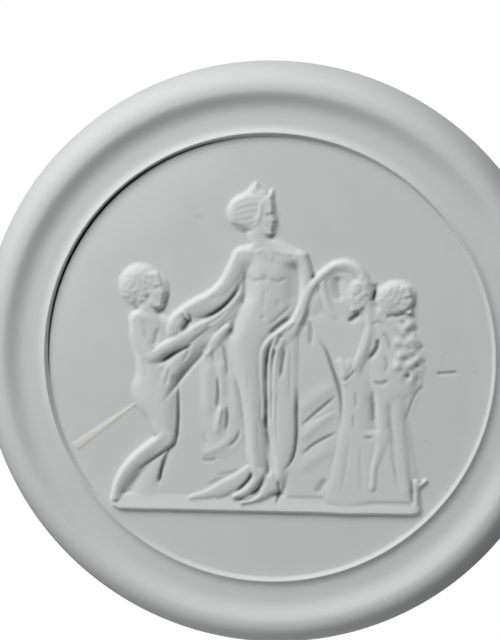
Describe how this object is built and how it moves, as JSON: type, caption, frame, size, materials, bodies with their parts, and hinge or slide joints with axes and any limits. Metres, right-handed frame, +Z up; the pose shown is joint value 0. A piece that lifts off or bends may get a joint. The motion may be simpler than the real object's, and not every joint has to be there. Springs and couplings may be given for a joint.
{
  "type": "wall plaque",
  "caption": "Round cast plaster wall plaque with a moulded rim and a sunk field that holds a low relief of draped figures on a ledge.",
  "frame": {"origin": "centre of the flat back face, where the plaque meets the wall", "axes": "+Y out of the back into the wall, so the relief faces -Y; +Z up; +X to the right of someone who faces the relief"},
  "size_m": [0.33, 0.022, 0.33],
  "materials": {
    "plaster": "matt, unpainted white casting plaster"
  },
  "bodies": {
    "root": {"plaque": "plaster"}
  },
  "joints": []
}
